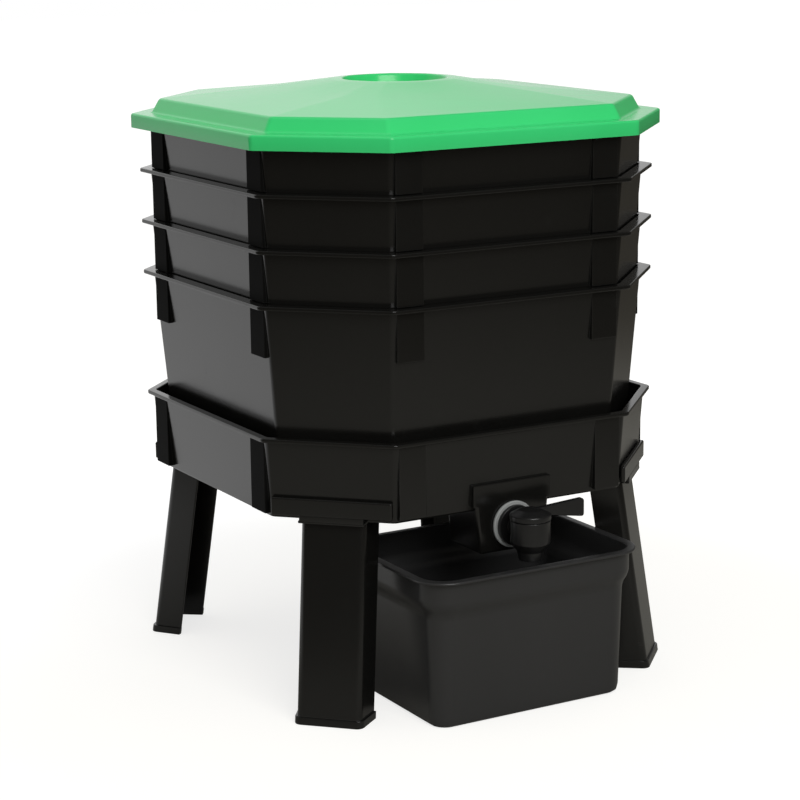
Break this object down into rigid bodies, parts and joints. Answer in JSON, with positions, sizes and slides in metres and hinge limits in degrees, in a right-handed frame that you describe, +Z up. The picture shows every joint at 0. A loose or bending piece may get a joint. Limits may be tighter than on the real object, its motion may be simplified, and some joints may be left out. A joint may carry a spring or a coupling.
{
  "type": "wormery",
  "caption": "Octagonal stacking wormery: nesting worm trays under a low lid, over a reservoir bin with a lever drain tap, on splayed legs, with a loose collection tray.",
  "frame": {"origin": "on the ground under the middle of the whole part's box, collection tray included", "axes": "+Z up, the drain tap and the collection tray on the -Y side, +X to the right when facing the tap side from the front"},
  "size_m": [0.43, 0.469, 0.5532],
  "materials": {
    "black_plastic": "semi-gloss moulded plastic with a fine grain",
    "green_plastic": "glossy moulded plastic",
    "grey_plastic": "satin moulded plastic",
    "tap_plastic": "satin moulded plastic",
    "washer_rubber": "smooth light grey rubber"
  },
  "bodies": {
    "stand": {"base_bin": "black_plastic", "back_right_leg": "black_plastic", "back_left_leg": "black_plastic", "front_left_leg": "black_plastic", "front_right_leg": "black_plastic", "tap_body": "tap_plastic", "tap_outer_washer": "washer_rubber", "tap_inner_washer": "washer_rubber", "tap_backnut": "tap_plastic"},
    "tap_valve": {"tap_plug": "tap_plastic", "tap_plug_seal": "washer_rubber"},
    "tray_4": {"worm_tray_4": "black_plastic"},
    "tray_3": {"worm_tray_3": "black_plastic"},
    "tray_2": {"worm_tray_2": "black_plastic"},
    "tray_1": {"worm_tray_1": "black_plastic"},
    "cover": {"lid": "green_plastic"},
    "catcher": {"collection_tray": "grey_plastic"}
  },
  "joints": [
    {"name": "tray_4_lift", "type": "slide", "parent": "stand", "child": "tray_4", "axis": [0, 0, 1], "range_m": [0, 0.12]},
    {"name": "tray_3_lift", "type": "slide", "parent": "tray_4", "child": "tray_3", "axis": [0, 0, 1], "range_m": [0, 0.12]},
    {"name": "tray_2_lift", "type": "slide", "parent": "tray_3", "child": "tray_2", "axis": [0, 0, 1], "range_m": [0, 0.12]},
    {"name": "tray_1_lift", "type": "slide", "parent": "tray_2", "child": "tray_1", "axis": [0, 0, 1], "range_m": [0, 0.12]},
    {"name": "lid_lift", "type": "slide", "parent": "tray_1", "child": "cover", "axis": [0, 0, 1], "range_m": [0, 0.12]},
    {"name": "tap_turn", "type": "hinge", "parent": "stand", "child": "tap_valve", "pos_m": [0, -0.2135, 0.167], "axis": [0, 0, -1], "range_deg": [0, 90]},
    {"name": "collection_tray_slide", "type": "slide", "parent": "stand", "child": "catcher", "axis": [0, -1, 0], "range_m": [0, 0.18]}
  ]
}
